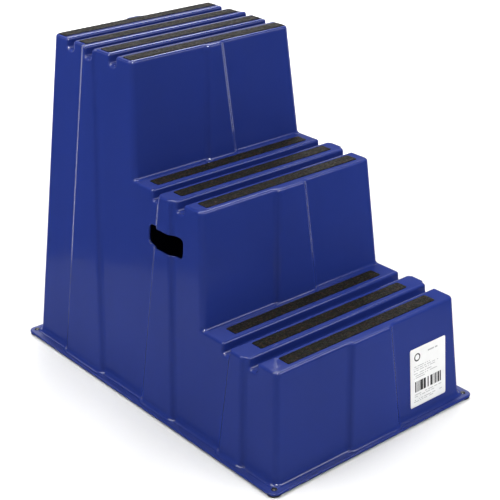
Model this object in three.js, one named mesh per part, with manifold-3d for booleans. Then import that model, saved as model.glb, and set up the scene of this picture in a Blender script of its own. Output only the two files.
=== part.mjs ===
// Three-tread mounting block: a one-piece moulded plastic shell, open underneath so that blocks nest,
// with grit tape on its treads, a rubber foot under each corner and a printed label on the front.
// Millimetres. +X to the right, +Y to the back, +Z up. The origin is on the floor, at the middle of
// the base.

import * as THREE from 'three';
import { mergeVertices } from 'three/addons/utils/BufferGeometryUtils.js';
import Module from 'manifold-3d';

const wasm = await Module();
wasm.setup();

// ---- Driving dimensions ----

const TREAD_COUNT = 3;
const HEIGHT = 650;
const RISE = HEIGHT / TREAD_COUNT;
const BASE_WIDTH = 515;
const BASE_DEPTH = 784;
const WALL = 4;

// The walls lean in by these slopes, millimetres per millimetre of height.
const SIDE_DRAFT = 0.0755;
const FRONT_DRAFT = 0.089;
const BACK_DRAFT = 0.0795;
const GOING = 215.4;
const CORNER_RADIUS = 12;
const EDGE_RADIUS = 5;

const FLANGE_SIDE = 19.6;
const FLANGE_FRONT = 16.2;
const FLANGE_BACK = 16.8;
const FLANGE_THICKNESS = 4.5;
const FLANGE_CORNER_RADIUS = 14;
const FLANGE_LIP = 1.2;
const COVE_RADIUS = 8;

const GROOVE_WIDTH = 20;
const GROOVE_DEPTH = 20;
const GROOVE_FLOOR_RADIUS = 7;

// Groove and tape centres, measured back from each tread's front edge, lowest tread first.
const GROOVES = [[60, 130], [60, 130], [56.5, 124.5, 192.5]];
const TAPES = [[26, 96, 166], [26, 96, 166], [19.5, 89.5, 159.5, 229.5]];

const RIB_DEPTH = 7.5;
const RIB_TOP_HALF_WIDTH = 13.5;
const RIB_DRAFT = 0.074;
const SIDE_RIB_OFFSETS = [98.5, 98.5, 128];

const HAND_HOLE_LENGTH = 100;
const HAND_HOLE_HEIGHT = 38;
const HAND_HOLE_RADIUS = 10;
const HAND_HOLE_BELOW_TREAD = 84;
const HAND_HOLE_OFFSET = 96.5;
const HAND_HOLE_REACH = 30;

const FOOT_HEIGHT = 4;
const FOOT_RADIUS = 13;
const FOOT_CHAMFER = 1;
const FOOT_RECESS_RADIUS = 6;
const FOOT_RECESS_DEPTH = 1.8;
const RIVET_HEAD_RADIUS = 5;
const RIVET_HEAD_HEIGHT = 2.6;
const RIVET_SHANK_RADIUS = 2.5;
const RIVET_BARB_RADIUS = 4.4;
const SPOT_FACE_RADIUS = 5.8;
const SPOT_FACE_HEIGHT = 8;

const TAPE_LENGTH = 366;
const TAPE_WIDTH = 26;
const TAPE_THICKNESS = 0.9;
const TAPE_CORNER_RADIUS = 3;

const LABEL_WIDTH = 96;
const LABEL_HEIGHT = 120;
const LABEL_THICKNESS = 0.4;
const LABEL_CORNER_RADIUS = 2;
const LABEL_CENTRE_X = 148;
const LABEL_CENTRE_Z = 87;

const GAP = 0.3;
const ARC_STEPS = 4;
const CIRCLE_STEPS = 24;
const OVERCUT = 20;
const MERGE_TOLERANCE = 0.02;

// ---- Derived places ----

const FLANGE_TOP = FOOT_HEIGHT + FLANGE_THICKNESS;
const QUARTER = Math.PI / 2;
// Moving a wall inwards narrows a 45 degree rib's face by this share of the move, on each side.
const FLANK_SHARE = Math.tan(Math.PI / 8);

const treadHeight = (index) => RISE * (index + 1);
const halfWidthAt = (z) => BASE_WIDTH / 2 - FLANGE_SIDE - SIDE_DRAFT * z;
const frontAt = (index, z) =>
  -BASE_DEPTH / 2 + FLANGE_FRONT + GOING * index + FRONT_DRAFT * (z - RISE * index);
const backAt = (z) => BASE_DEPTH / 2 - FLANGE_BACK - BACK_DRAFT * z;
const treadFront = (index) => frontAt(index, treadHeight(index));

const treadIndexes = [...Array(TREAD_COUNT).keys()];
const corners = [
  { name: 'front_left', x: -1, y: -1 },
  { name: 'front_right', x: 1, y: -1 },
  { name: 'back_left', x: -1, y: 1 },
  { name: 'back_right', x: 1, y: 1 },
];

// ---- Geometry helpers ----

// The points of a circular arc, ends included.
function arc(centreX, centreY, radius, startAngle, endAngle, steps = ARC_STEPS) {
  const points = [];
  for (let step = 0; step <= steps; step += 1) {
    const angle = startAngle + ((endAngle - startAngle) * step) / steps;
    points.push(new THREE.Vector2(centreX + radius * Math.cos(angle), centreY + radius * Math.sin(angle)));
  }
  return points;
}

// A rectangle with round corners, counter-clockwise.
function roundedRectangle(minX, maxX, minY, maxY, radius) {
  return [
    ...arc(maxX - radius, minY + radius, radius, -QUARTER, 0),
    ...arc(maxX - radius, maxY - radius, radius, 0, QUARTER),
    ...arc(minX + radius, maxY - radius, radius, QUARTER, 2 * QUARTER),
    ...arc(minX + radius, minY + radius, radius, 2 * QUARTER, 3 * QUARTER),
  ];
}

// A closed body through a stack of outlines: each ring holds the same number of points and its height.
function loft(rings) {
  const count = rings[0].outline.length;
  const positions = rings.flatMap(({ outline, z }) => outline.flatMap((point) => [point.x, point.y, z]));
  const indices = [];
  for (let ring = 0; ring < rings.length - 1; ring += 1) {
    for (let side = 0; side < count; side += 1) {
      const here = ring * count + side;
      const next = ring * count + ((side + 1) % count);
      indices.push(here, next, next + count, here, next + count, here + count);
    }
  }
  const last = (rings.length - 1) * count;
  for (const [a, b, c] of THREE.ShapeUtils.triangulateShape(rings[0].outline, [])) {
    indices.push(c, b, a);
  }
  for (const [a, b, c] of THREE.ShapeUtils.triangulateShape(rings[rings.length - 1].outline, [])) {
    indices.push(last + a, last + b, last + c);
  }
  const geometry = new THREE.BufferGeometry();
  geometry.setAttribute('position', new THREE.Float32BufferAttribute(positions, 3));
  geometry.setIndex(indices);
  return geometry;
}

function toSolid(geometry) {
  const bare = geometry.clone();
  bare.deleteAttribute('normal');
  bare.deleteAttribute('uv');
  const merged = mergeVertices(bare);
  const mesh = new wasm.Mesh({
    numProp: 3,
    vertProperties: new Float32Array(merged.attributes.position.array),
    triVerts: new Uint32Array(merged.index.array),
  });
  return new wasm.Manifold(mesh);
}

function toGeometry(solid) {
  const mesh = solid.getMesh();
  const geometry = new THREE.BufferGeometry();
  geometry.setAttribute('position', new THREE.BufferAttribute(new Float32Array(mesh.vertProperties), 3));
  geometry.setIndex(new THREE.BufferAttribute(new Uint32Array(mesh.triVerts), 1));
  return geometry;
}

const join = (solids) => solids.reduce((whole, solid) => whole.add(solid));
const cut = (solid, cutters) => cutters.reduce((rest, cutter) => rest.subtract(cutter), solid);

function makeMesh(name, geometry, material) {
  geometry.computeVertexNormals();
  const mesh = new THREE.Mesh(geometry, material);
  mesh.name = name;
  return mesh;
}

// ---- Shell ----

// One storey of the block, from the base up to its tread. The inset moves every face inwards, so the
// same storey with the wall's thickness as inset is the hollow under it.
function storey(index, inset) {
  const top = treadHeight(index) - inset;
  const bottom = inset > 0 ? -OVERCUT : FOOT_HEIGHT;
  const radius = CORNER_RADIUS - inset;
  const ringAt = (z, shrink) => {
    const halfWidth = halfWidthAt(z) - inset - shrink;
    const front = frontAt(index, z) + inset + shrink;
    const back = backAt(z) - inset - shrink;
    return { z, outline: roundedRectangle(-halfWidth, halfWidth, front, back, radius - shrink) };
  };
  const rings = [ringAt(bottom, 0)];
  for (const point of arc(EDGE_RADIUS, top - EDGE_RADIUS, EDGE_RADIUS, 2 * QUARTER, QUARTER)) {
    rings.push(ringAt(point.y, point.x));
  }
  return toSolid(loft(rings));
}

// The outline of a rib that stands proud of a wall, with flanks at 45 degrees that run on into the
// wall. Across runs along the wall, and out runs away from it.
function ribOutline(halfWidth, proud, toPoint) {
  const root = halfWidth + proud + RIB_DEPTH;
  return [
    toPoint(-root, -RIB_DEPTH),
    toPoint(-halfWidth, proud),
    toPoint(halfWidth, proud),
    toPoint(root, -RIB_DEPTH),
  ];
}

// A rib's rings from its foot to the tread that it ends at, with a cove at the foot and a round top.
function rib({ foot, top, fullTop, inset, coved, placeAt }) {
  const ringAt = (z, grow) => {
    const halfWidth = RIB_TOP_HALF_WIDTH + RIB_DRAFT * (fullTop - z) + grow - inset * FLANK_SHARE;
    return { z, outline: ribOutline(halfWidth, RIB_DEPTH - inset + grow, placeAt(z)) };
  };
  const rings = [];
  if (coved) {
    rings.push(ringAt(foot, COVE_RADIUS));
    for (const point of arc(COVE_RADIUS, FLANGE_TOP + COVE_RADIUS, COVE_RADIUS, 3 * QUARTER, 2 * QUARTER)) {
      rings.push(ringAt(point.y, point.x));
    }
  } else {
    rings.push(ringAt(foot, 0));
  }
  for (const point of arc(EDGE_RADIUS, top - EDGE_RADIUS, EDGE_RADIUS, 2 * QUARTER, QUARTER)) {
    rings.push(ringAt(point.y, -point.x));
  }
  return toSolid(loft(rings));
}

// A rib up each side wall under each tread, ending at that tread.
function sideRibs(inset) {
  return treadIndexes.flatMap((index) =>
    [-1, 1].map((side) => {
      const centre = treadFront(index) + SIDE_RIB_OFFSETS[index];
      return rib({
        foot: inset > 0 ? -OVERCUT : FLANGE_TOP - GAP,
        top: treadHeight(index) - inset,
        fullTop: treadHeight(index),
        inset,
        coved: inset === 0,
        placeAt: (z) => (across, out) =>
          new THREE.Vector2(side * (halfWidthAt(z) + out), centre + side * across),
      });
    }),
  );
}

// One rib up the middle of each riser, which widens evenly from the top tread to the floor.
function frontRibs(inset) {
  return treadIndexes.map((index) => {
    const foot = index === 0 ? FLANGE_TOP - GAP : RISE * index - EDGE_RADIUS;
    return rib({
      foot: inset > 0 && index === 0 ? -OVERCUT : foot - inset,
      top: treadHeight(index) - inset,
      fullTop: HEIGHT,
      inset,
      coved: inset === 0 && index === 0,
      placeAt: (z) => (across, out) => new THREE.Vector2(across, frontAt(index, z) - out),
    });
  });
}

// The same rib up the middle of the back wall.
function backRib(inset) {
  return rib({
    foot: inset > 0 ? -OVERCUT : FLANGE_TOP - GAP,
    top: HEIGHT - inset,
    fullTop: HEIGHT,
    inset,
    coved: inset === 0,
    placeAt: (z) => (across, out) => new THREE.Vector2(-across, backAt(z) + out),
  });
}

// Cuts a groove across a tread: a U with a round floor and a flared mouth, open at both side walls.
function groove(index, offset, inset) {
  const top = treadHeight(index);
  const floor = top - GROOVE_DEPTH - inset;
  const half = GROOVE_WIDTH / 2 + inset;
  const mouth = EDGE_RADIUS;
  const floorRadius = GROOVE_FLOOR_RADIUS + inset;
  const shape = new THREE.Shape([
    new THREE.Vector2(-half - mouth, top + OVERCUT),
    ...arc(-half - mouth, top - mouth, mouth, QUARTER, 0),
    ...arc(-half + floorRadius, floor + floorRadius, floorRadius, 2 * QUARTER, 3 * QUARTER),
    ...arc(half - floorRadius, floor + floorRadius, floorRadius, 3 * QUARTER, 4 * QUARTER),
    ...arc(half + mouth, top - mouth, mouth, 2 * QUARTER, QUARTER),
    new THREE.Vector2(half + mouth, top + OVERCUT),
  ]);
  const geometry = new THREE.ExtrudeGeometry(shape, { depth: BASE_WIDTH, bevelEnabled: false });
  geometry.translate(0, 0, -BASE_WIDTH / 2);
  const alongX = new THREE.Matrix4().makeBasis(
    new THREE.Vector3(0, 1, 0),
    new THREE.Vector3(0, 0, 1),
    new THREE.Vector3(1, 0, 0),
  );
  geometry.applyMatrix4(alongX);
  geometry.translate(0, treadFront(index) + offset, 0);
  return toSolid(geometry);
}

// The whole stepped body, solid. The inset version is the hollow inside it.
function steppedBody(inset) {
  const body = join([
    ...treadIndexes.map((index) => storey(index, inset)),
    ...sideRibs(inset),
    ...frontRibs(inset),
    backRib(inset),
  ]);
  const grooves = treadIndexes.flatMap((index) =>
    GROOVES[index].map((offset) => groove(index, offset, inset)),
  );
  return cut(body, grooves);
}

// The flat rim round the base, with a slightly rounded lip.
function flange() {
  const ringAt = (z, shrink) => ({
    z,
    outline: roundedRectangle(
      -BASE_WIDTH / 2 + shrink,
      BASE_WIDTH / 2 - shrink,
      -BASE_DEPTH / 2 + shrink,
      BASE_DEPTH / 2 - shrink,
      FLANGE_CORNER_RADIUS - shrink,
    ),
  });
  return toSolid(
    loft([
      ringAt(FOOT_HEIGHT, FLANGE_LIP / 2),
      ringAt(FOOT_HEIGHT + FLANGE_LIP / 2, 0),
      ringAt(FLANGE_TOP - FLANGE_LIP, 0),
      ringAt(FLANGE_TOP, FLANGE_LIP),
    ]),
  );
}

// The cove where the walls meet the flange.
function cove() {
  const ringAt = (z, grow) => ({
    z,
    outline: roundedRectangle(
      -halfWidthAt(z) - grow,
      halfWidthAt(z) + grow,
      frontAt(0, z) - grow,
      backAt(z) + grow,
      CORNER_RADIUS + grow,
    ),
  });
  const rings = [ringAt(FLANGE_TOP - GAP, COVE_RADIUS)];
  for (const point of arc(COVE_RADIUS, FLANGE_TOP + COVE_RADIUS, COVE_RADIUS, 3 * QUARTER, 2 * QUARTER)) {
    rings.push(ringAt(point.y, point.x));
  }
  return toSolid(loft(rings));
}

// Cuts the hand hole through one side wall, just under the middle tread.
function handHole(side) {
  const middle = treadFront(1) + HAND_HOLE_OFFSET;
  const height = treadHeight(1) - HAND_HOLE_BELOW_TREAD;
  const shape = new THREE.Shape(
    roundedRectangle(
      -HAND_HOLE_LENGTH / 2,
      HAND_HOLE_LENGTH / 2,
      -HAND_HOLE_HEIGHT / 2,
      HAND_HOLE_HEIGHT / 2,
      HAND_HOLE_RADIUS,
    ),
  );
  const geometry = new THREE.ExtrudeGeometry(shape, { depth: 2 * HAND_HOLE_REACH, bevelEnabled: false });
  geometry.translate(0, 0, -HAND_HOLE_REACH);
  geometry.rotateX(QUARTER);
  geometry.rotateZ(QUARTER);
  geometry.translate(side * halfWidthAt(height), middle, height);
  return toSolid(geometry);
}

const footX = (corner) => corner.x * (BASE_WIDTH / 2 - FLANGE_CORNER_RADIUS);
const footY = (corner) => corner.y * (BASE_DEPTH / 2 - FLANGE_CORNER_RADIUS);

// An upright round cutter at one corner of the flange.
function cornerCutter(corner, radius, bottom, top) {
  const geometry = new THREE.CylinderGeometry(radius, radius, top - bottom, CIRCLE_STEPS);
  geometry.rotateX(QUARTER);
  geometry.translate(footX(corner), footY(corner), (top + bottom) / 2);
  return toSolid(geometry);
}

function shell() {
  const outside = join([steppedBody(0), flange(), cove()]);
  const cutters = [steppedBody(WALL), handHole(-1), handHole(1)];
  for (const corner of corners) {
    cutters.push(cornerCutter(corner, RIVET_SHANK_RADIUS + GAP, 0, FLANGE_TOP + SPOT_FACE_HEIGHT));
    cutters.push(cornerCutter(corner, SPOT_FACE_RADIUS, FLANGE_TOP, FLANGE_TOP + SPOT_FACE_HEIGHT));
  }
  const material = new THREE.MeshStandardMaterial({ color: 0x0b1e8f, roughness: 0.28, metalness: 0 });
  return makeMesh('shell', toGeometry(cut(outside, cutters).simplify(MERGE_TOLERANCE)), material);
}

// ---- Tread tapes ----

// A flat sheet with round corners, as thick as given, standing on z = 0.
function sheet(width, length, thickness, radius) {
  const outline = roundedRectangle(-width / 2, width / 2, -length / 2, length / 2, radius);
  return loft([{ z: 0, outline }, { z: thickness, outline }]);
}

function tapes() {
  return treadIndexes.flatMap((index) =>
    TAPES[index].map((offset, number) => {
      const material = new THREE.MeshStandardMaterial({ color: 0x17171a, roughness: 0.95, metalness: 0 });
      const geometry = sheet(TAPE_LENGTH, TAPE_WIDTH, TAPE_THICKNESS, TAPE_CORNER_RADIUS);
      const mesh = makeMesh(`grit_tape_${index + 1}_${number + 1}`, geometry, material);
      mesh.position.set(0, treadFront(index) + offset, treadHeight(index) + GAP);
      return mesh;
    }),
  );
}

// ---- Feet and rivets ----

// A rubber pad with a recess in its underside for the rivet's barb.
function footPad(corner) {
  const profile = [
    [RIVET_SHANK_RADIUS + GAP, FOOT_RECESS_DEPTH],
    [FOOT_RECESS_RADIUS, FOOT_RECESS_DEPTH],
    [FOOT_RECESS_RADIUS, 0],
    [FOOT_RADIUS - FOOT_CHAMFER, 0],
    [FOOT_RADIUS, FOOT_CHAMFER],
    [FOOT_RADIUS, FOOT_HEIGHT - GAP],
    [RIVET_SHANK_RADIUS + GAP, FOOT_HEIGHT - GAP],
    [RIVET_SHANK_RADIUS + GAP, FOOT_RECESS_DEPTH],
  ].map(([radius, z]) => new THREE.Vector2(radius, z));
  const geometry = new THREE.LatheGeometry(profile, CIRCLE_STEPS);
  geometry.rotateX(QUARTER);
  const material = new THREE.MeshStandardMaterial({ color: 0x1b1b1c, roughness: 0.85, metalness: 0 });
  const mesh = makeMesh(`foot_pad_${corner.name}`, geometry, material);
  mesh.position.set(footX(corner), footY(corner), 0);
  return mesh;
}

// A push-in rivet: a domed head on the flange, a shank through it and a barb inside the pad.
function rivet(corner) {
  const headBase = FLANGE_TOP + GAP;
  const barbTop = FOOT_RECESS_DEPTH - GAP;
  const barbBottom = GAP;
  const dome = arc(0, 0, 1, 0, QUARTER).map(
    (point) => new THREE.Vector2(point.x * RIVET_HEAD_RADIUS, headBase + point.y * RIVET_HEAD_HEIGHT),
  );
  dome[dome.length - 1].x = 0;
  const profile = [
    new THREE.Vector2(0, barbBottom),
    new THREE.Vector2(RIVET_SHANK_RADIUS, barbBottom),
    new THREE.Vector2(RIVET_BARB_RADIUS, barbTop),
    new THREE.Vector2(RIVET_SHANK_RADIUS, barbTop),
    new THREE.Vector2(RIVET_SHANK_RADIUS, headBase),
    ...dome,
  ];
  const geometry = new THREE.LatheGeometry(profile, CIRCLE_STEPS);
  geometry.rotateX(QUARTER);
  const material = new THREE.MeshStandardMaterial({ color: 0x0c0c0d, roughness: 0.3, metalness: 0 });
  const mesh = makeMesh(`rivet_${corner.name}`, geometry, material);
  mesh.position.set(footX(corner), footY(corner), 0);
  return mesh;
}

// ---- Label ----

// The sheet stands on the lowest riser, which leans back by the front draft.
function label() {
  const geometry = sheet(LABEL_WIDTH, LABEL_HEIGHT, LABEL_THICKNESS, LABEL_CORNER_RADIUS);
  const material = new THREE.MeshStandardMaterial({ color: 0xf2f2ef, roughness: 0.6, metalness: 0 });
  const mesh = makeMesh('label', geometry, material);
  mesh.rotation.x = QUARTER - Math.atan(FRONT_DRAFT);
  mesh.position.set(LABEL_CENTRE_X, frontAt(0, LABEL_CENTRE_Z) - GAP, LABEL_CENTRE_Z);
  return mesh;
}

// ---- Assembly ----

const mountingBlock = new THREE.Group();
mountingBlock.add(shell(), ...tapes(), ...corners.map(footPad), ...corners.map(rivet), label());

export default mountingBlock;
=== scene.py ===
"""The looks of a three-tread mounting block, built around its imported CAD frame.

Metres. +X to the right, +Y to the back, +Z up, origin on the floor at the middle of the base.
The moulded shell is one surface drawn from a distance field, so that every edge, rib and cove is round.
"""

import math

import bmesh
import bpy
import numpy as np
from mathutils import Matrix, Vector


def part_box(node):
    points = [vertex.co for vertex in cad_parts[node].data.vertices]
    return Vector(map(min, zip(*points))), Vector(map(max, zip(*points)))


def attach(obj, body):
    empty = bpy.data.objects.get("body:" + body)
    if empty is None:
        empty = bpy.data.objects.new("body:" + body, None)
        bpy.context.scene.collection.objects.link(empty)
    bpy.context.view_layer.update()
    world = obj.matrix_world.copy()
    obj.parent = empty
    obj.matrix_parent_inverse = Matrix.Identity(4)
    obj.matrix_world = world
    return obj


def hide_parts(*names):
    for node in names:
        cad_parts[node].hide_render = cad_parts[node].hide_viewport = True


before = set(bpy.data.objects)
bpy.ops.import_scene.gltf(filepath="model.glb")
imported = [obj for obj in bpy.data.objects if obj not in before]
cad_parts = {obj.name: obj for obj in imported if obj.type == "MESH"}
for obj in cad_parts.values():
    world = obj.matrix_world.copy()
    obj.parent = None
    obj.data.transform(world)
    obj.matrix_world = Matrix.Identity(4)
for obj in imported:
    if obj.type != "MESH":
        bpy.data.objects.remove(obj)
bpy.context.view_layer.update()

# ---- Sizes that the frame gives ----

SHELL_LOW, SHELL_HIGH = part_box("shell")
HEIGHT = SHELL_HIGH.z
BASE_WIDTH = SHELL_HIGH.x - SHELL_LOW.x
BASE_DEPTH = SHELL_HIGH.y - SHELL_LOW.y
FOOT_HEIGHT = SHELL_LOW.z

# ---- Sizes that the frame cannot give, the same as the CAD model's ----

TREAD_COUNT = 3
RISE = HEIGHT / TREAD_COUNT
GOING = 0.2154
WALL = 0.004
SIDE_DRAFT = 0.0755
FRONT_DRAFT = 0.089
BACK_DRAFT = 0.0795
CORNER_RADIUS = 0.012
EDGE_RADIUS = 0.005

FLANGE_SIDE = 0.0196
FLANGE_FRONT = 0.0162
FLANGE_BACK = 0.0168
FLANGE_TOP = FOOT_HEIGHT + 0.0045
FLANGE_CORNER_RADIUS = 0.014
FLANGE_LIP = 0.0016
FLANGE_UNDER_LIP = 0.0008
COVE_RADIUS = 0.008

GROOVE_WIDTH = 0.020
GROOVE_DEPTH = 0.020
GROOVE_FLOOR_RADIUS = 0.007
GROOVES = ((0.060, 0.130), (0.060, 0.130), (0.0565, 0.1245, 0.1925))
TAPE_COUNTS = (3, 3, 4)

RIB_DEPTH = 0.0075
RIB_TOP_HALF_WIDTH = 0.0135
RIB_DRAFT = 0.074
RIB_EDGE_RADIUS = 0.003
RIB_FILLET_RADIUS = 0.004
SIDE_RIB_OFFSETS = (0.0985, 0.0985, 0.128)

HAND_HOLE_TREAD = 1
HAND_HOLE_LENGTH = 0.100
HAND_HOLE_HEIGHT = 0.038
HAND_HOLE_RADIUS = 0.010
HAND_HOLE_BELOW_TREAD = 0.084
HAND_HOLE_OFFSET = 0.0965
HAND_HOLE_EDGE_RADIUS = 0.0015
HAND_HOLE_INNER_X = 0.150

RIVET_HOLE_RADIUS = 0.0028
SPOT_FACE_RADIUS = 0.0058
RIM_EDGE_RADIUS = 0.0008

# The true distance to a sloping wall is the step to it along X or Y times its cosine.
SIDE_COSINE = 1 / math.hypot(1, SIDE_DRAFT)
FRONT_COSINE = 1 / math.hypot(1, FRONT_DRAFT)
BACK_COSINE = 1 / math.hypot(1, BACK_DRAFT)

# ---- Places ----


def tread_height(index):
    return RISE * (index + 1)


def half_width_at(z):
    return BASE_WIDTH / 2 - FLANGE_SIDE - SIDE_DRAFT * z


def front_at(index, z):
    return -BASE_DEPTH / 2 + FLANGE_FRONT + GOING * index + FRONT_DRAFT * (z - RISE * index)


def back_at(z):
    return BASE_DEPTH / 2 - FLANGE_BACK - BACK_DRAFT * z


def tread_front(index):
    return front_at(index, tread_height(index))


# ---- The shell's distance field: below zero in the plastic, above zero outside it ----


def round_join(a, b, radius):
    """Two bodies joined, with a fillet where they meet."""
    fillet = np.sqrt(np.maximum(radius - a, 0) ** 2 + np.maximum(radius - b, 0) ** 2)
    return np.maximum(np.minimum(a, b), radius) - fillet


def round_meet(a, b, radius):
    """What two bodies share, with a round edge where they meet."""
    edge = np.sqrt(np.maximum(a + radius, 0) ** 2 + np.maximum(b + radius, 0) ** 2)
    return np.minimum(np.maximum(a, b), -radius) + edge


def rounded_box(across, up, radius):
    """A box with round corners, from how far each way a point is past the centre of a corner."""
    outside = np.sqrt(np.maximum(across, 0) ** 2 + np.maximum(up, 0) ** 2)
    return outside + np.minimum(np.maximum(across, up), 0) - radius


def ribbed_wall(wall, ribs):
    """A wall, given as the distance out of it, with ribs given as (distance across, half width of the face).
    Their flanks lean at 45 degrees."""
    face = wall - RIB_DEPTH
    for across, half_width in ribs:
        flank = (np.abs(across) - half_width + face) * math.sqrt(0.5)
        rib = round_meet(face, flank, RIB_EDGE_RADIUS)
        wall = round_join(wall, rib, RIB_FILLET_RADIUS)
    return wall


def rib_half_width(top, z):
    return RIB_TOP_HALF_WIDTH + RIB_DRAFT * (top - z)


def side_walls(x, y, z):
    out = (np.abs(x) - half_width_at(z)) * SIDE_COSINE
    ribs = [
        (y - tread_front(index) - offset, rib_half_width(tread_height(index), z))
        for index, offset in enumerate(SIDE_RIB_OFFSETS)
    ]
    return ribbed_wall(out, ribs)


def groove(y, z, index, offset):
    across = np.abs(y - tread_front(index) - offset) - (GROOVE_WIDTH / 2 - GROOVE_FLOOR_RADIUS)
    down = tread_height(index) - GROOVE_DEPTH + GROOVE_FLOOR_RADIUS - z
    return rounded_box(across, down, GROOVE_FLOOR_RADIUS)


def stepped_body(x, y, z):
    """The solid block that the walls enclose, without a bottom."""
    central_rib = [(x, rib_half_width(HEIGHT, z))]
    back = ribbed_wall((y - back_at(z)) * BACK_COSINE, central_rib)
    outer_walls = round_meet(side_walls(x, y, z), back, CORNER_RADIUS)
    block = None
    for index in reversed(range(TREAD_COUNT)):
        front = ribbed_wall((front_at(index, z) - y) * FRONT_COSINE, central_rib)
        walls = round_meet(outer_walls, front, CORNER_RADIUS)
        tread = z - tread_height(index)
        if block is None:
            block = round_meet(walls, tread, EDGE_RADIUS)
        else:
            step = round_meet(round_join(tread, block, EDGE_RADIUS), walls, EDGE_RADIUS)
            block = np.minimum(step, block)
    for index, offsets in enumerate(GROOVES):
        for offset in offsets:
            block = round_meet(block, -groove(y, z, index, offset), EDGE_RADIUS)
    return block


def hand_hole(x, y, z):
    from_middle = np.abs(y - tread_front(HAND_HOLE_TREAD) - HAND_HOLE_OFFSET)
    across = from_middle - (HAND_HOLE_LENGTH / 2 - HAND_HOLE_RADIUS)
    middle = tread_height(HAND_HOLE_TREAD) - HAND_HOLE_BELOW_TREAD
    up = np.abs(z - middle) - (HAND_HOLE_HEIGHT / 2 - HAND_HOLE_RADIUS)
    return np.maximum(rounded_box(across, up, HAND_HOLE_RADIUS), HAND_HOLE_INNER_X - np.abs(x))


def shell_field(x, y, z):
    block = stepped_body(x, y, z)
    corner_x = np.abs(x) - (BASE_WIDTH / 2 - FLANGE_CORNER_RADIUS)
    corner_y = np.abs(y) - (BASE_DEPTH / 2 - FLANGE_CORNER_RADIUS)
    outline = rounded_box(corner_x, corner_y, FLANGE_CORNER_RADIUS)
    coved = round_join(block, z - FLANGE_TOP, COVE_RADIUS)
    outside = round_meet(coved, outline, FLANGE_LIP)
    outside = round_meet(outside, FOOT_HEIGHT - z, FLANGE_UNDER_LIP)
    shell = round_meet(outside, -(block + WALL), RIM_EDGE_RADIUS)
    shell = round_meet(shell, -hand_hole(x, y, z), HAND_HOLE_EDGE_RADIUS)
    from_rivet = np.sqrt(corner_x**2 + corner_y**2)
    spot_face = np.maximum(from_rivet - SPOT_FACE_RADIUS, FLANGE_TOP - z)
    shell = np.maximum(shell, -spot_face)
    return np.maximum(shell, RIVET_HOLE_RADIUS - from_rivet)


# ---- From the field to a mesh ----

FINE = 0.0014
FINEST = 0.0009
MEDIUM = 0.0022
RIB_STEP = 0.0018
HAND_HOLE_STEP = 0.0019
WIDE = 0.009
COARSE = 0.012
GRID_MARGIN = 0.0035

# How far the close lines reach from what they follow.
RIB_ZONE_IN = 0.006
RIB_ZONE_OUT = 0.015
SIDE_WALL_ZONE = 0.016
RISER_ZONE = 0.010
BACK_WALL_ZONE = 0.020
HAND_HOLE_ZONE = 0.024
FLANGE_ZONE_BELOW = 0.0017
FLANGE_ZONE_ABOVE = 0.0011
COVE_ZONE_TOP = 0.020
TREAD_ZONE_BELOW = 0.0305
TREAD_ZONE_ABOVE = 0.0073

# Where the grid begins to lean as the side wall does, and where it does as the back wall does.
SIDE_LEAN_START = 0.13
BACK_LEAN_START = 0.285
BACK_LEAN_FULL = 0.345

GRADIENT_STEP = 1e-5
SETTLE_ROUNDS = 3
SETTLE_LONGEST_MOVE = 0.0012
LEAST_SQUARED_GRADIENT = 0.1
TINY = 1e-9
FLAT_ANGLE = math.radians(0.35)
INNER_FACE_SHARE = 0.75


def grid_lines(spans):
    """Rising values that fill spans, each given as (start, end, step between lines)."""
    factor = 1
    parts = []
    for start, end, step in spans:
        count = max(1, round((end - start) / (step * factor)))
        parts.append(np.linspace(start, end, count, endpoint=False))
    parts.append(np.array([spans[-1][1]]))
    return np.concatenate(parts)


def grid_x():
    """Lines from the middle out, close together at the front rib's flanks and at the side walls."""
    rib_foot = rib_half_width(HEIGHT, 0)
    half = grid_lines([
        (0, rib_foot - RIB_ZONE_IN, WIDE),
        (rib_foot - RIB_ZONE_IN, rib_foot + RIB_ZONE_OUT, RIB_STEP),
        (rib_foot + RIB_ZONE_OUT, half_width_at(0) - SIDE_WALL_ZONE, COARSE),
        (half_width_at(0) - SIDE_WALL_ZONE, BASE_WIDTH / 2 + GRID_MARGIN, FINE),
    ])
    return np.concatenate([-half[:0:-1], half])


def grid_y():
    """Lines from front to back, close together at the risers, the flange and the back wall."""
    spans = []
    position = -BASE_DEPTH / 2 - GRID_MARGIN
    for index in range(TREAD_COUNT):
        foot = front_at(index, RISE * index) - RISER_ZONE
        crest = tread_front(index) + RISER_ZONE
        if index > 0:
            spans.append((position, foot, MEDIUM))
            position = foot
        spans.append((position, crest, FINE))
        position = crest
    spans.append((position, back_at(0) - BACK_WALL_ZONE, MEDIUM))
    spans.append((back_at(0) - BACK_WALL_ZONE, BASE_DEPTH / 2 + GRID_MARGIN, FINE))
    return grid_lines(spans)


def grid_z():
    """Lines from the floor up, close together at the flange, the hand holes and each tread."""
    hole = tread_height(HAND_HOLE_TREAD) - HAND_HOLE_BELOW_TREAD
    cove_foot = FLANGE_TOP + FLANGE_ZONE_ABOVE
    spans = [(FOOT_HEIGHT - FLANGE_ZONE_BELOW, cove_foot, FINEST), (cove_foot, COVE_ZONE_TOP, FINE)]
    for index in range(TREAD_COUNT):
        start = tread_height(index) - TREAD_ZONE_BELOW
        if index == HAND_HOLE_TREAD:
            spans.append((spans[-1][1], hole - HAND_HOLE_ZONE, COARSE))
            spans.append((hole - HAND_HOLE_ZONE, hole + HAND_HOLE_ZONE, HAND_HOLE_STEP))
        spans.append((spans[-1][1], start, COARSE))
        spans.append((start, tread_height(index) + TREAD_ZONE_ABOVE, FINE))
    return grid_lines(spans)


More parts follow.
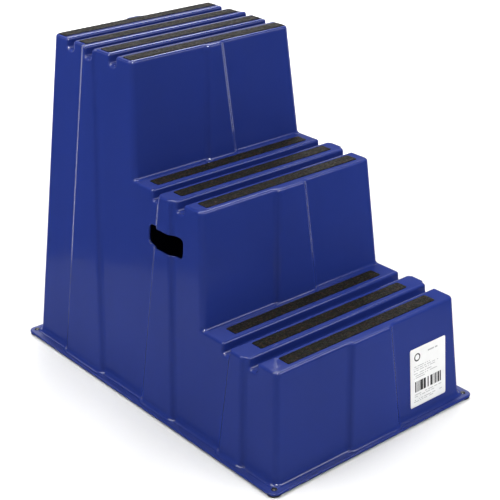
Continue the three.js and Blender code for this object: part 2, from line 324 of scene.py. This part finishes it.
def warped_grid():
    """The grid's X, Y and Z values, bent so that its lines follow the sloping walls and ribs."""
    across, along, up = grid_x(), grid_y(), grid_z()
    rib_foot = rib_half_width(HEIGHT, 0)
    rib_zone = (rib_foot - RIB_ZONE_IN, rib_foot + RIB_ZONE_OUT)
    lean_x = np.interp(
        np.abs(across),
        [0, *rib_zone, SIDE_LEAN_START, half_width_at(0) - SIDE_WALL_ZONE],
        [0, RIB_DRAFT, RIB_DRAFT, 0, SIDE_DRAFT],
    )
    lean_y = np.interp(along, [BACK_LEAN_START, BACK_LEAN_FULL], [0, BACK_DRAFT])
    z = up[None, None, :]
    x = across[:, None, None] - np.sign(across)[:, None, None] * lean_x[:, None, None] * z
    y = along[None, :, None] - lean_y[None, :, None] * z
    return x, y, z


def cells_round_edge(starts, axis, shape):
    """The flat numbers of the four cells round each grid edge along an axis, in turning order."""
    first, second = (axis + 1) % 3, (axis + 2) % 3
    cells = []
    for step_first, step_second in ((-1, -1), (0, -1), (0, 0), (-1, 0)):
        moved = list(starts)
        moved[first] = starts[first] + step_first
        moved[second] = starts[second] + step_second
        cells.append(np.ravel_multi_index(moved, shape))
    return np.stack(cells, axis=1)


def surface_net(x, y, z, values):
    """A closed quad mesh where the values change sign, with one vertex in each cell that it crosses."""
    shape = values.shape
    inside = values < 0
    grid = [np.broadcast_to(axis_values, shape) for axis_values in (x, y, z)]
    cell_parts, point_parts, quads = [], [], []
    for axis in range(3):
        low = tuple(slice(0, -1) if i == axis else slice(None) for i in range(3))
        high = tuple(slice(1, None) if i == axis else slice(None) for i in range(3))
        starts = np.nonzero(inside[low] != inside[high])
        ends = tuple(index + (1 if i == axis else 0) for i, index in enumerate(starts))
        start_values, end_values = values[starts], values[ends]
        share = (start_values / (start_values - end_values))[:, None]
        start_points = np.stack([g[starts] for g in grid], axis=1)
        end_points = np.stack([g[ends] for g in grid], axis=1)
        points = start_points + share * (end_points - start_points)
        cells = cells_round_edge(starts, axis, shape)
        cell_parts.append(cells.ravel())
        point_parts.append(np.repeat(points, 4, axis=0))
        quads.append(np.where(inside[starts][:, None], cells, cells[:, ::-1]))
    cells = np.concatenate(cell_parts)
    points = np.concatenate(point_parts)
    used, vertex = np.unique(cells, return_inverse=True)
    counts = np.bincount(vertex)
    vertices = np.stack([np.bincount(vertex, points[:, i]) / counts for i in range(3)], axis=1)
    faces = np.searchsorted(used, np.concatenate(quads))
    return vertices, faces


def field_gradient(field, points):
    parts = []
    for axis in range(3):
        offset = np.zeros(3)
        offset[axis] = GRADIENT_STEP
        ahead = field(*(points + offset).T)
        behind = field(*(points - offset).T)
        parts.append((ahead - behind) / (2 * GRADIENT_STEP))
    return np.stack(parts, axis=1)


def settle(field, points):
    """Moves points onto the field's zero surface. Gives them back with the surface's normals there."""
    for _ in range(SETTLE_ROUNDS):
        gradient = field_gradient(field, points)
        squared = np.maximum((gradient**2).sum(axis=1), LEAST_SQUARED_GRADIENT)
        move = gradient * (field(*points.T) / squared)[:, None]
        length = np.linalg.norm(move, axis=1)[:, None]
        points = points - move * np.minimum(1, SETTLE_LONGEST_MOVE / np.maximum(length, TINY))
    gradient = field_gradient(field, points)
    return points, gradient / np.maximum(np.linalg.norm(gradient, axis=1)[:, None], TINY)


def mesh_from_arrays(name, vertices, faces):
    mesh = bpy.data.meshes.new(name)
    corners = faces.shape[1]
    mesh.vertices.add(len(vertices))
    mesh.vertices.foreach_set("co", vertices.astype(np.float32).ravel())
    mesh.loops.add(faces.size)
    mesh.loops.foreach_set("vertex_index", faces.astype(np.int32).ravel())
    mesh.polygons.add(len(faces))
    mesh.polygons.foreach_set("loop_start", np.arange(0, faces.size, corners, dtype=np.int32))
    mesh.update(calc_edges=True)
    return mesh


def add_piece(name, mesh, materials, replaced):
    """A visible piece that stands for one CAD node and rides with the block."""
    piece = bpy.data.objects.new(name, mesh)
    bpy.context.scene.collection.objects.link(piece)
    for material in materials:
        mesh.materials.append(material)
    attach(piece, "root")
    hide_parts(replaced)
    return piece


def dissolve_flats(mesh, angle):
    """Merges the faces of each flat stretch, which leaves the mesh fine only where it curves."""
    work = bmesh.new()
    work.from_mesh(mesh)
    bmesh.ops.dissolve_limit(
        work, angle_limit=angle, use_dissolve_boundaries=False, verts=work.verts, edges=work.edges
    )
    work.to_mesh(mesh)
    work.free()


def vertex_array(mesh):
    points = np.zeros(len(mesh.vertices) * 3)
    mesh.vertices.foreach_get("co", points)
    return points.reshape(-1, 3)


def build_shell(outer_material, inner_material):
    x, y, z = warped_grid()
    values = shell_field(*(axis.astype(np.float32) for axis in (x, y, z)))
    points, faces = surface_net(x, y, z, values)
    points, _ = settle(shell_field, points)
    mesh = mesh_from_arrays("moulded_shell", points, faces)
    dissolve_flats(mesh, FLAT_ANGLE)
    mesh.polygons.foreach_set("use_smooth", np.ones(len(mesh.polygons), bool))
    _, normals = settle(shell_field, vertex_array(mesh))
    mesh.normals_split_custom_set_from_vertices(normals)
    piece = add_piece("moulded_shell", mesh, [outer_material, inner_material], "shell")
    mark_inner_faces(mesh)
    return piece


def mark_inner_faces(mesh):
    """Gives the faces of the hollow the second material."""
    centres = np.zeros(len(mesh.polygons) * 3)
    mesh.polygons.foreach_get("center", centres)
    centres = centres.reshape(-1, 3)
    inner = stepped_body(*centres.T) < -WALL * INNER_FACE_SHARE
    mesh.polygons.foreach_set("material_index", inner.astype(np.int32))


# ---- Tapes, feet, rivets and label ----

TAPE_CORNER_RADIUS = 0.003
TAPE_GRAIN_STEP = 0.0015
TAPE_GRAIN_HEIGHT = 0.00035
TAPE_SEED_STEP = 100
STICKER_CLEARANCE = 0.00005

LABEL_THICKNESS = 0.0003
LABEL_CORNER_RADIUS = 0.002
LABEL_CELL = 0.003

FOOT_EDGE_RADIUS = 0.0011
FOOT_RECESS_RADIUS = 0.006
FOOT_RECESS_DEPTH = 0.0018
FOOT_RECESS_EDGE_RADIUS = 0.0004

RIVET_SHANK_RADIUS = 0.0025
RIVET_BARB_RADIUS = 0.0044
RIVET_BARB_HEIGHT = 0.0012
RIVET_RIM_RADIUS = 0.0006
RIVET_RIM_STEPS = 5
RIVET_DOME_INSET = 0.4
RIVET_DOME_START = 20
RIVET_DOME_POINTS = 12

ROUND_STEPS = 64
ARC_STEPS = 8
SHARP_ANGLE = math.radians(40)
MERGE_DISTANCE = 1e-7
CORNERS = ("front_left", "front_right", "back_left", "back_right")


def sheet_mesh(name, width, depth, thickness, corner_radius, step, heights=None):
    """A closed flat sheet on z = 0 with round corners: a grid of cells, with added heights on top."""
    count_x, count_y = max(2, round(width / step)), max(2, round(depth / step))
    across = np.linspace(-width / 2, width / 2, count_x + 1)
    along = np.linspace(-depth / 2, depth / 2, count_y + 1)
    into_corner = np.maximum(np.abs(along) - (depth / 2 - corner_radius), 0)
    row_half = width / 2 - corner_radius + np.sqrt(np.maximum(corner_radius**2 - into_corner**2, 0))
    x = across[None, :] * (row_half / (width / 2))[:, None]
    y = np.broadcast_to(along[:, None], x.shape)
    top = np.full(x.shape, thickness)
    if heights is not None:
        top[1:-1, 1:-1] += heights(x[1:-1, 1:-1].shape)
    layers = [np.stack([x, y, z], axis=-1).reshape(-1, 3) for z in (top, np.zeros(x.shape))]
    rows, columns = x.shape
    index = np.arange(rows * columns).reshape(rows, columns)
    cell_corners = [index[:-1, :-1], index[:-1, 1:], index[1:, 1:], index[1:, :-1]]
    cells = np.stack(cell_corners, axis=-1).reshape(-1, 4)
    rim = np.concatenate([index[0, :-1], index[:-1, -1], index[-1, :0:-1], index[:0:-1, 0]])
    following = np.roll(rim, -1)
    below = rows * columns
    walls = np.stack([rim, rim + below, following + below, following], axis=-1)
    faces = np.concatenate([cells, cells[:, ::-1] + below, walls])
    return mesh_from_arrays(name, np.concatenate(layers), faces)


def build_tapes(material):
    for index in range(TREAD_COUNT):
        for number in range(TAPE_COUNTS[index]):
            node = f"grit_tape_{index + 1}_{number + 1}"
            low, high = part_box(node)
            random = np.random.default_rng(TAPE_SEED_STEP * index + number)
            mesh = sheet_mesh(
                node + "_grit",
                high.x - low.x,
                high.y - low.y,
                high.z - low.z,
                TAPE_CORNER_RADIUS,
                TAPE_GRAIN_STEP,
                lambda shape: random.random(shape) ** 2 * TAPE_GRAIN_HEIGHT,
            )
            base = tread_height(index) + STICKER_CLEARANCE
            mesh.transform(Matrix.Translation(((low.x + high.x) / 2, (low.y + high.y) / 2, base)))
            add_piece(node + "_grit", mesh, [material], node)


def arc(centre, radius, start, end, steps=ARC_STEPS):
    """Points (radius, height) on an arc, with the angles in degrees."""
    angles = np.radians(np.linspace(start, end, steps + 1))
    return [(centre[0] + radius * math.cos(a), centre[1] + radius * math.sin(a)) for a in angles]


def turned_mesh(name, profile):
    """A body turned about the Z axis from (radius, height) points, anticlockwise round its section."""
    angles = np.linspace(0, 2 * math.pi, ROUND_STEPS, endpoint=False)
    rings = [[(r * math.cos(a), r * math.sin(a), z) for a in angles] for r, z in profile]
    vertices = np.array(rings).reshape(-1, 3)
    faces = []
    for ring in range(len(profile)):
        for side in range(ROUND_STEPS):
            following = (side + 1) % ROUND_STEPS
            upper = (ring + 1) % len(profile)
            faces.append([
                ring * ROUND_STEPS + side,
                ring * ROUND_STEPS + following,
                upper * ROUND_STEPS + following,
                upper * ROUND_STEPS + side,
            ])
    mesh = mesh_from_arrays(name, vertices, np.array(faces))
    work = bmesh.new()
    work.from_mesh(mesh)
    bmesh.ops.remove_doubles(work, verts=work.verts, dist=MERGE_DISTANCE)
    bmesh.ops.recalc_face_normals(work, faces=work.faces)
    work.to_mesh(mesh)
    work.free()
    mesh.polygons.foreach_set("use_smooth", np.ones(len(mesh.polygons), bool))
    mesh.set_sharp_from_angle(angle=SHARP_ANGLE)
    return mesh


def build_foot(node, material):
    """A rubber pad with soft edges, and a recess underneath for the rivet's barb."""
    low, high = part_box(node)
    radius, top = (high.x - low.x) / 2, high.z
    edge, recess_edge = FOOT_EDGE_RADIUS, FOOT_RECESS_EDGE_RADIUS
    profile = [
        *arc((FOOT_RECESS_RADIUS + recess_edge, recess_edge), recess_edge, 180, 270),
        *arc((radius - edge, edge), edge, 270, 360),
        *arc((radius - edge, top - edge), edge, 0, 90),
        (RIVET_HOLE_RADIUS, top),
        (RIVET_HOLE_RADIUS, FOOT_RECESS_DEPTH),
        (FOOT_RECESS_RADIUS, FOOT_RECESS_DEPTH),
    ]
    mesh = turned_mesh(node + "_rubber", profile)
    mesh.transform(Matrix.Translation(((low.x + high.x) / 2, (low.y + high.y) / 2, 0)))
    add_piece(node + "_rubber", mesh, [material], node)


def build_rivet(node, material):
    """A push-in rivet: a low dome with a soft rim, a shank through the flange and a barb below it."""
    low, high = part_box(node)
    head = (high.x - low.x) / 2
    head_base = FLANGE_TOP + STICKER_CLEARANCE
    barb_top = low.z + RIVET_BARB_HEIGHT
    rim = RIVET_RIM_RADIUS
    crown = high.z - head_base - rim
    dome = [
        ((head - rim * RIVET_DOME_INSET) * math.cos(a), head_base + rim + crown * math.sin(a))
        for a in np.radians(np.linspace(RIVET_DOME_START, 90, RIVET_DOME_POINTS))
    ]
    profile = [
        (TINY, low.z),
        (RIVET_SHANK_RADIUS, low.z),
        (RIVET_BARB_RADIUS, barb_top),
        (RIVET_SHANK_RADIUS, barb_top),
        (RIVET_SHANK_RADIUS, head_base),
        *arc((head - rim, head_base + rim), rim, 270, 360, RIVET_RIM_STEPS),
        *dome[:-1],
        (TINY, high.z),
    ]
    mesh = turned_mesh(node + "_dome", profile)
    mesh.transform(Matrix.Translation(((low.x + high.x) / 2, (low.y + high.y) / 2, 0)))
    add_piece(node + "_dome", mesh, [material], node)


def build_label(material):
    """The printed sheet, flat on the lowest riser. Its UV map runs 0 to 1 across it and up it."""
    low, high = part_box("label")
    lean = math.atan(FRONT_DRAFT)
    width = high.x - low.x
    height = (high.z - low.z) / math.cos(lean)
    mesh = sheet_mesh("printed_label", width, height, LABEL_THICKNESS, LABEL_CORNER_RADIUS, LABEL_CELL)
    layer = mesh.uv_layers.new(name="print")
    for loop in mesh.loops:
        point = mesh.vertices[loop.vertex_index].co
        layer.data[loop.index].uv = (point.x / width + 0.5, point.y / height + 0.5)
    middle_z = (low.z + high.z) / 2
    place = ((low.x + high.x) / 2, front_at(0, middle_z) - STICKER_CLEARANCE, middle_z)
    mesh.transform(Matrix.Translation(place) @ Matrix.Rotation(math.pi / 2 - lean, 4, "X"))
    add_piece("printed_label", mesh, [material], "label")


# ---- Materials: sizes of texture in cells per metre, heights of bumps in metres ----

# A noise texture's values, apart from rare peaks and pits.
NOISE_LOW = 0.3
NOISE_HIGH = 0.7

BLUE = ((0.0146, 0.0295, 0.180, 1), (0.0166, 0.0332, 0.200, 1))
BLUE_SCUFFED = (0.028, 0.058, 0.250, 1)
SCRATCH_LOW = 0.66
SCRATCH_HIGH = 0.74
SCUFF_ROUGHNESS = 0.35

GRIT_BLACK = ((0.0010, 0.0010, 0.0009, 1), (0.012, 0.0105, 0.008, 1))
GRIT_BROWN = (0.028, 0.014, 0.009, 1)
GRIT_GREEN = (0.012, 0.015, 0.006, 1)
GRIT_BROWN_FROM = 0.80
GRIT_GREEN_FROM = 0.84

RUBBER_BLACK = ((0.010, 0.010, 0.010, 1), (0.022, 0.021, 0.020, 1))
RIVET_BLACK = ((0.006, 0.006, 0.007, 1), (0.014, 0.014, 0.015, 1))

PAPER_WHITE = ((0.80, 0.80, 0.79, 1), (0.86, 0.86, 0.855, 1))
INK_BLACK = (0.012, 0.012, 0.014, 1)
INK_GREY = (0.16, 0.16, 0.17, 1)
GREY_COVER = 0.62

# The label's print, in shares of its width and height from its lower left.
# The bars and the heading are given as left, right, bottom and top.
LABEL_ASPECT = 1.25
RING_PLACE = (0.20, 0.84)
RING_RADIUS = 0.085
RING_LINE = 0.028
BARS = (0.12, 0.90, 0.25, 0.43)
BAR_CELLS = 62
BAR_SEED = 3
BAR_SHARE = 0.5
HEADING = (0.48, 0.78, 0.865, 0.89)
HEADING_CELLS = 40
HEADING_SEED = 31
HEADING_SHARE = 0.8
DASH_HEIGHT = 0.012
DASH_CELLS = 34
DASH_SEED_STEP = 50
DASH_SHARE = 0.72
DASH_ROWS = (  # bottom, left, right
    (0.68, 0.10, 0.55),
    (0.645, 0.10, 0.82),
    (0.61, 0.10, 0.70),
    (0.56, 0.10, 0.60),
    (0.52, 0.10, 0.76),
    (0.485, 0.10, 0.44),
    (0.20, 0.12, 0.88),
    (0.165, 0.12, 0.70),
    (0.11, 0.10, 0.90),
    (0.08, 0.10, 0.64),
)

PAINT_MOTTLE = 0.02


class Nodes:
    """Short ways to build one material's nodes."""

    def __init__(self, name):
        self.material = bpy.data.materials.new(name)
        self.material.use_nodes = True
        self.tree = self.material.node_tree
        self.shader = self.tree.nodes["Principled BSDF"]

    def add(self, kind, inputs=None, **settings):
        node = self.tree.nodes.new(kind)
        for key, value in settings.items():
            setattr(node, key, value)
        for key, value in (inputs or {}).items():
            self.feed(value, node.inputs[key])
        return node

    def feed(self, value, socket):
        if isinstance(value, bpy.types.NodeSocket):
            self.tree.links.new(value, socket)
        else:
            socket.default_value = value

    def math(self, operation, a, b=0.0, clamp=False):
        node = self.add("ShaderNodeMath", {0: a, 1: b}, operation=operation, use_clamp=clamp)
        return node.outputs[0]

    def place(self, scale=(1, 1, 1)):
        """Object coordinates in metres, stretched by a scale."""
        coordinates = self.add("ShaderNodeTexCoord")
        inputs = {"Vector": coordinates.outputs["Object"], "Scale": scale}
        return self.add("ShaderNodeMapping", inputs).outputs[0]

    def noise(self, scale, detail=2.0, roughness=0.5, stretch=(1, 1, 1)):
        place = self.place(stretch)
        inputs = {"Vector": place, "Scale": scale, "Detail": detail, "Roughness": roughness}
        return self.add("ShaderNodeTexNoise", inputs).outputs["Fac"]

    def grains(self, scale):
        node = self.add("ShaderNodeTexVoronoi", {"Vector": self.place(), "Scale": scale}, feature="F1")
        return node.outputs

    def span(self, value, low, high, to_low, to_high):
        """Takes low..high to to_low..to_high, and holds it inside that."""
        inputs = {"Value": value, "From Min": low, "From Max": high, "To Min": to_low, "To Max": to_high}
        return self.add("ShaderNodeMapRange", inputs, clamp=True).outputs[0]

    def mottle(self, to_low, to_high, *noise):
        """Noise from to_low to to_high, with the noise's own settings last."""
        return self.span(self.noise(*noise), NOISE_LOW, NOISE_HIGH, to_low, to_high)

    def blend(self, factor, first, second):
        inputs = {"Factor": factor, "A": first, "B": second}
        node = self.add("ShaderNodeMix", data_type="RGBA")
        for socket in node.inputs:
            if socket.name in inputs and socket.type in ("RGBA", "VALUE") and socket.enabled:
                self.feed(inputs[socket.name], socket)
        return next(s for s in node.outputs if s.enabled)

    def bump(self, height, strength, distance, under=None):
        inputs = {"Height": height, "Strength": strength, "Distance": distance}
        if under is not None:
            inputs["Normal"] = under
        return self.add("ShaderNodeBump", inputs).outputs[0]

    def finish(self, **inputs):
        for key, value in inputs.items():
            self.feed(value, self.shader.inputs[key.replace("_", " ")])
        return self.material


def plastic(name, roughness_low, roughness_high, scuffs):
    """Glossy moulded polyethylene: even blue, faint flow marks, orange peel and a few fine scuffs."""
    nodes = Nodes(name)
    colour = nodes.blend(nodes.mottle(0, 1, 5, 3, 0.55, (1, 1, 0.35)), *BLUE)
    hairs = nodes.noise(60, 4, 0.7, (1, 14, 14))
    cross_hairs = nodes.noise(55, 4, 0.7, (16, 1.5, 10))
    scratch = nodes.math("MAXIMUM", hairs, cross_hairs)
    patches = nodes.span(nodes.noise(9, 2), 0.45, 0.7, 0, 1)
    scuff = nodes.math("MULTIPLY", nodes.span(scratch, SCRATCH_LOW, SCRATCH_HIGH, 0, scuffs), patches)
    colour = nodes.blend(scuff, colour, BLUE_SCUFFED)
    gloss = nodes.mottle(roughness_low, roughness_high, 22, 3)
    roughness = nodes.math("ADD", gloss, nodes.math("MULTIPLY", scuff, SCUFF_ROUGHNESS), clamp=True)
    waves = nodes.bump(nodes.noise(7, 2), 1.0, 0.0012)
    peel = nodes.bump(nodes.noise(130, 2), 0.08, 0.0005, waves)
    normal = nodes.bump(nodes.noise(900, 2), 0.10, 0.00008, peel)
    return nodes.finish(Base_Color=colour, Roughness=roughness, Normal=normal, Specular_IOR_Level=0.42)


def grit(name):
    """Mineral grains in black binder: clumps of light and dark, with odd grains of brown and green."""
    nodes = Nodes(name)
    grains, clumps = nodes.grains(900.0), nodes.grains(380.0)
    grain_tint = nodes.add("ShaderNodeSeparateColor", {"Color": grains["Color"]}).outputs
    clump_tint = nodes.add("ShaderNodeSeparateColor", {"Color": clumps["Color"]}).outputs
    colour = nodes.blend(nodes.math("MULTIPLY", grain_tint[0], clump_tint[0]), *GRIT_BLACK)
    brown = nodes.math("GREATER_THAN", clump_tint[1], GRIT_BROWN_FROM)
    green = nodes.math("GREATER_THAN", clump_tint[2], GRIT_GREEN_FROM)
    colour = nodes.blend(brown, colour, GRIT_BROWN)
    colour = nodes.blend(green, colour, GRIT_GREEN)
    roughness = nodes.span(clump_tint[0], 0, 1, 0.5, 0.95)
    coarse = nodes.bump(clump_tint[1], 0.8, 0.0006)
    normal = nodes.bump(nodes.math("SUBTRACT", 1.0, grains["Distance"]), 0.9, 0.0006, coarse)
    return nodes.finish(Base_Color=colour, Roughness=roughness, Normal=normal, Specular_IOR_Level=0.12)


def rubber(name):
    nodes = Nodes(name)
    colour = nodes.blend(nodes.mottle(0, 1, 180, 3), *RUBBER_BLACK)
    roughness = nodes.mottle(0.62, 0.85, 90, 2)
    normal = nodes.bump(nodes.noise(1400, 3), 0.35, 0.0002)
    return nodes.finish(Base_Color=colour, Roughness=roughness, Normal=normal)


def rivet_plastic(name):
    nodes = Nodes(name)
    colour = nodes.blend(nodes.mottle(0, 1, 300, 2), *RIVET_BLACK)
    roughness = nodes.mottle(0.18, 0.32, 220, 2)
    normal = nodes.bump(nodes.noise(500, 2), 0.12, 0.0001)
    return nodes.finish(Base_Color=colour, Roughness=roughness, Normal=normal)


class Print:
    """Masks for the label's print."""

    def __init__(self, nodes):
        self.nodes = nodes
        coordinates = nodes.add("ShaderNodeUVMap", uv_map="print")
        split = nodes.add("ShaderNodeSeparateXYZ", {"Vector": coordinates.outputs[0]})
        self.across, self.up = split.outputs[0], split.outputs[1]

    def both(self, a, b):
        return self.nodes.math("MULTIPLY", a, b)

    def either(self, a, b):
        return self.nodes.math("MAXIMUM", a, b)

    def between(self, value, low, high):
        above = self.nodes.math("GREATER_THAN", value, low)
        return self.both(above, self.nodes.math("LESS_THAN", value, high))

    def block(self, left, right, bottom, top):
        return self.both(self.between(self.across, left, right), self.between(self.up, bottom, top))

    def broken(self, block, cells, seed, share):
        """A block cut across into equal cells, of which a random share is on."""
        whole = self.block(*block)
        cell = self.nodes.math("FLOOR", self.nodes.math("MULTIPLY", self.across, cells))
        number = self.nodes.math("ADD", cell, seed)
        random = self.nodes.add("ShaderNodeTexWhiteNoise", {"W": number}, noise_dimensions="1D")
        return self.both(whole, self.nodes.math("LESS_THAN", random.outputs["Value"], share))

    def ring(self, left, bottom, radius, line):
        from_x = self.nodes.math("SUBTRACT", self.across, left)
        from_y = self.nodes.math("MULTIPLY", self.nodes.math("SUBTRACT", self.up, bottom), LABEL_ASPECT)
        squared = self.nodes.math("ADD", self.both(from_x, from_x), self.both(from_y, from_y))
        return self.between(self.nodes.math("SQRT", squared), radius - line, radius)


def label_film(name):
    """White film with generic print: a plain ring, grey dashes where text would be, and random bars."""
    nodes = Nodes(name)
    marks = Print(nodes)
    ink = marks.ring(*RING_PLACE, RING_RADIUS, RING_LINE)
    ink = marks.either(ink, marks.broken(BARS, BAR_CELLS, BAR_SEED, BAR_SHARE))
    grey = marks.broken(HEADING, HEADING_CELLS, HEADING_SEED, HEADING_SHARE)
    for number, (bottom, left, right) in enumerate(DASH_ROWS):
        row = (left, right, bottom, bottom + DASH_HEIGHT)
        dashes = marks.broken(row, DASH_CELLS, DASH_SEED_STEP * number, DASH_SHARE)
        grey = marks.either(grey, dashes)
    paper = nodes.blend(nodes.mottle(0, 1, 30, 3), *PAPER_WHITE)
    colour = nodes.blend(nodes.math("MULTIPLY", grey, GREY_COVER), paper, INK_GREY)
    colour = nodes.blend(ink, colour, INK_BLACK)
    roughness = nodes.mottle(0.42, 0.58, 160, 2)
    normal = nodes.bump(nodes.noise(420, 3), 0.12, 0.0001)
    return nodes.finish(Base_Color=colour, Roughness=roughness, Normal=normal)


def matte_paint(name, brightness):
    """Faintly mottled matte grey."""
    nodes = Nodes(name)
    darker, lighter = brightness * (1 - PAINT_MOTTLE), brightness * (1 + PAINT_MOTTLE)
    colour = nodes.blend(nodes.mottle(0, 1, 1.5, 3), (*[darker] * 3, 1), (*[lighter] * 3, 1))
    return nodes.finish(Base_Color=colour, Roughness=0.9, Specular_IOR_Level=0.0)


# ---- Stage, light and camera ----

FLOOR_HALF = 2.4
FLOOR_CORNERS = [Vector(corner) for corner in ((-1, -1, 0), (1, -1, 0), (1, 1, 0), (-1, 1, 0))]
FLOOR_DROP = 0.0002
FLOOR_WHITE = 0.84
CARD_DARK = 0.015
CARD_GREY = 0.15
CARD_OFFSET = 0.905
CARD_NEAR = 3.0
CARD_FAR = 0.42
CARD_HEIGHT = 0.7
CARD_CLEARANCE = 0.0004
HORIZON_LIGHT = 1.4
ZENITH_LIGHT = 0.1
HORIZON_TOP = 0.1
ZENITH_FOOT = 0.35
MIDDLE = (0, 0, HEIGHT / 2)
SOFTBOXES = (  # name, place, target, width, height, watts, spread in degrees
    ("back_softbox", (1.6, 1.9, 2.6), MIDDLE, 1.1, 0.7, 32, 180),
    ("key_softbox", (0.3, 0.1, 2.5), (0.2, 0, 0), 1.0, 1.0, 19, 180),
    ("left_wash", (-1.5, 0.5, 2.0), (-1.1, 0.4, 0), 1.2, 2.0, 22, 110),
    ("front_wash", (1.0, -1.8, 2.0), (0.8, -1.3, 0), 2.0, 1.2, 27, 110),
    ("back_wash", (1.4, 2.4, 2.4), (1.3, 2.25, 0), 3.4, 1.8, 60, 110),
)
GLOSS_SOFTBOXES = (
    ("glint_softbox", (-1.15, -1.34, 2.1), MIDDLE, 0.3, 0.3, 75, 180),
    ("rim_softbox", (1.6, 1.9, 2.6), MIDDLE, 1.1, 0.7, 35, 180),
)
CAMERA_AZIMUTH = math.radians(40.56)
CAMERA_ELEVATION = math.radians(24.89)
CAMERA_DISTANCE = 2.4654
CAMERA_TARGET = Vector((0, -0.0298, 0.2636))
CAMERA_LENS = 92.25
SENSOR_WIDTH = 36.0


def add_stage_quad(name, corners, material):
    mesh = bpy.data.meshes.new(name)
    mesh.from_pydata(corners, [], [(0, 1, 2, 3)])
    mesh.materials.append(material)
    quad = bpy.data.objects.new(name, mesh)
    bpy.context.scene.collection.objects.link(quad)
    return quad


def build_floor():
    drop = Vector((0, 0, FLOOR_DROP))
    corners = [corner * FLOOR_HALF - drop for corner in FLOOR_CORNERS]
    add_stage_quad("studio_floor", corners, matte_paint("floor_paint", FLOOR_WHITE))


def build_cards():
    """Cards that only the gloss sees. Dark ones stand on both sides of the camera's line of sight and
    behind the camera, as the dark studio round a roll of white paper does. A grey one lies on the floor,
    so that the gloss mirrors a dull floor and not a white one."""
    dark, grey = matte_paint("dark_card", CARD_DARK), matte_paint("grey_card", CARD_GREY)
    along = Vector((math.sin(CAMERA_AZIMUTH), math.cos(CAMERA_AZIMUTH), 0))
    right = Vector((along.y, -along.x, 0)) * CARD_OFFSET
    up = Vector((0, 0, CARD_HEIGHT))
    low = Vector((0, 0, CARD_CLEARANCE))
    near, far = low - along * CARD_NEAR, low + along * CARD_FAR
    cards = (
        ("left_card", dark, (near - right, far - right, far - right + up, near - right + up)),
        ("right_card", dark, (near + right, far + right, far + right + up, near + right + up)),
        ("front_card", dark, (near - right, near + right, near + right + up, near - right + up)),
        ("floor_card", grey, (near - right * 2, near + right * 2, far + right * 2, far - right * 2)),
    )
    for name, material, corners in cards:
        card = add_stage_quad(name, corners, material)
        card.visible_camera = False
        card.visible_diffuse = False
        card.visible_transmission = False
        card.visible_shadow = False


def add_softbox(name, place, target, width, height, power, spread):
    light = bpy.data.lights.new(name, "AREA")
    light.spread = math.radians(spread)
    light.shape = "RECTANGLE"
    light.size = width
    light.size_y = height
    light.energy = power
    holder = bpy.data.objects.new(name, light)
    holder.location = place
    holder.rotation_euler = (Vector(target) - Vector(place)).to_track_quat("-Z", "Y").to_euler()
    bpy.context.scene.collection.objects.link(holder)
    return holder


def build_world():
    """Soft light from all round: bright near the horizon, as from pale walls, and dimmer overhead."""
    world = bpy.data.worlds.new("studio")
    world.use_nodes = True
    nodes, links = world.node_tree.nodes, world.node_tree.links
    coordinates = nodes.new("ShaderNodeTexCoord")
    split = nodes.new("ShaderNodeSeparateXYZ")
    links.new(coordinates.outputs["Generated"], split.inputs[0])
    fade = nodes.new("ShaderNodeMapRange")
    fade.inputs["From Min"].default_value = HORIZON_TOP
    fade.inputs["From Max"].default_value = ZENITH_FOOT
    fade.inputs["To Min"].default_value = HORIZON_LIGHT
    fade.inputs["To Max"].default_value = ZENITH_LIGHT
    links.new(split.outputs["Z"], fade.inputs["Value"])
    links.new(fade.outputs[0], nodes["Background"].inputs["Strength"])
    nodes["Background"].inputs["Color"].default_value = (1, 1, 1, 1)
    bpy.context.scene.world = world


def build_light():
    build_world()
    bpy.context.scene.view_settings.view_transform = "Standard"
    for softbox in SOFTBOXES:
        add_softbox(*softbox)
    for softbox in GLOSS_SOFTBOXES:
        holder = add_softbox(*softbox)
        holder.visible_diffuse = False
        holder.visible_camera = False


def build_camera():
    data = bpy.data.cameras.new("camera")
    data.sensor_width = SENSOR_WIDTH
    data.lens = CAMERA_LENS
    camera = bpy.data.objects.new("camera", data)
    outward = Vector((
        -math.sin(CAMERA_AZIMUTH) * math.cos(CAMERA_ELEVATION),
        -math.cos(CAMERA_AZIMUTH) * math.cos(CAMERA_ELEVATION),
        math.sin(CAMERA_ELEVATION),
    ))
    camera.location = CAMERA_TARGET + outward * CAMERA_DISTANCE
    camera.rotation_euler = (-outward).to_track_quat("-Z", "Y").to_euler()
    bpy.context.scene.collection.objects.link(camera)
    bpy.context.scene.camera = camera


# ---- Assembly ----

build_camera()
build_light()
build_floor()
build_cards()

outer_plastic = plastic("blue_shell", roughness_low=0.10, roughness_high=0.16, scuffs=0.35)
inner_plastic = plastic("blue_shell_inside", roughness_low=0.38, roughness_high=0.52, scuffs=0.2)
build_shell(outer_plastic, inner_plastic)
build_tapes(grit("grit"))
foot_rubber = rubber("foot_rubber")
rivet_black = rivet_plastic("rivet_black")
for corner in CORNERS:
    build_foot("foot_pad_" + corner, foot_rubber)
    build_rivet("rivet_" + corner, rivet_black)
build_label(label_film("label_film"))
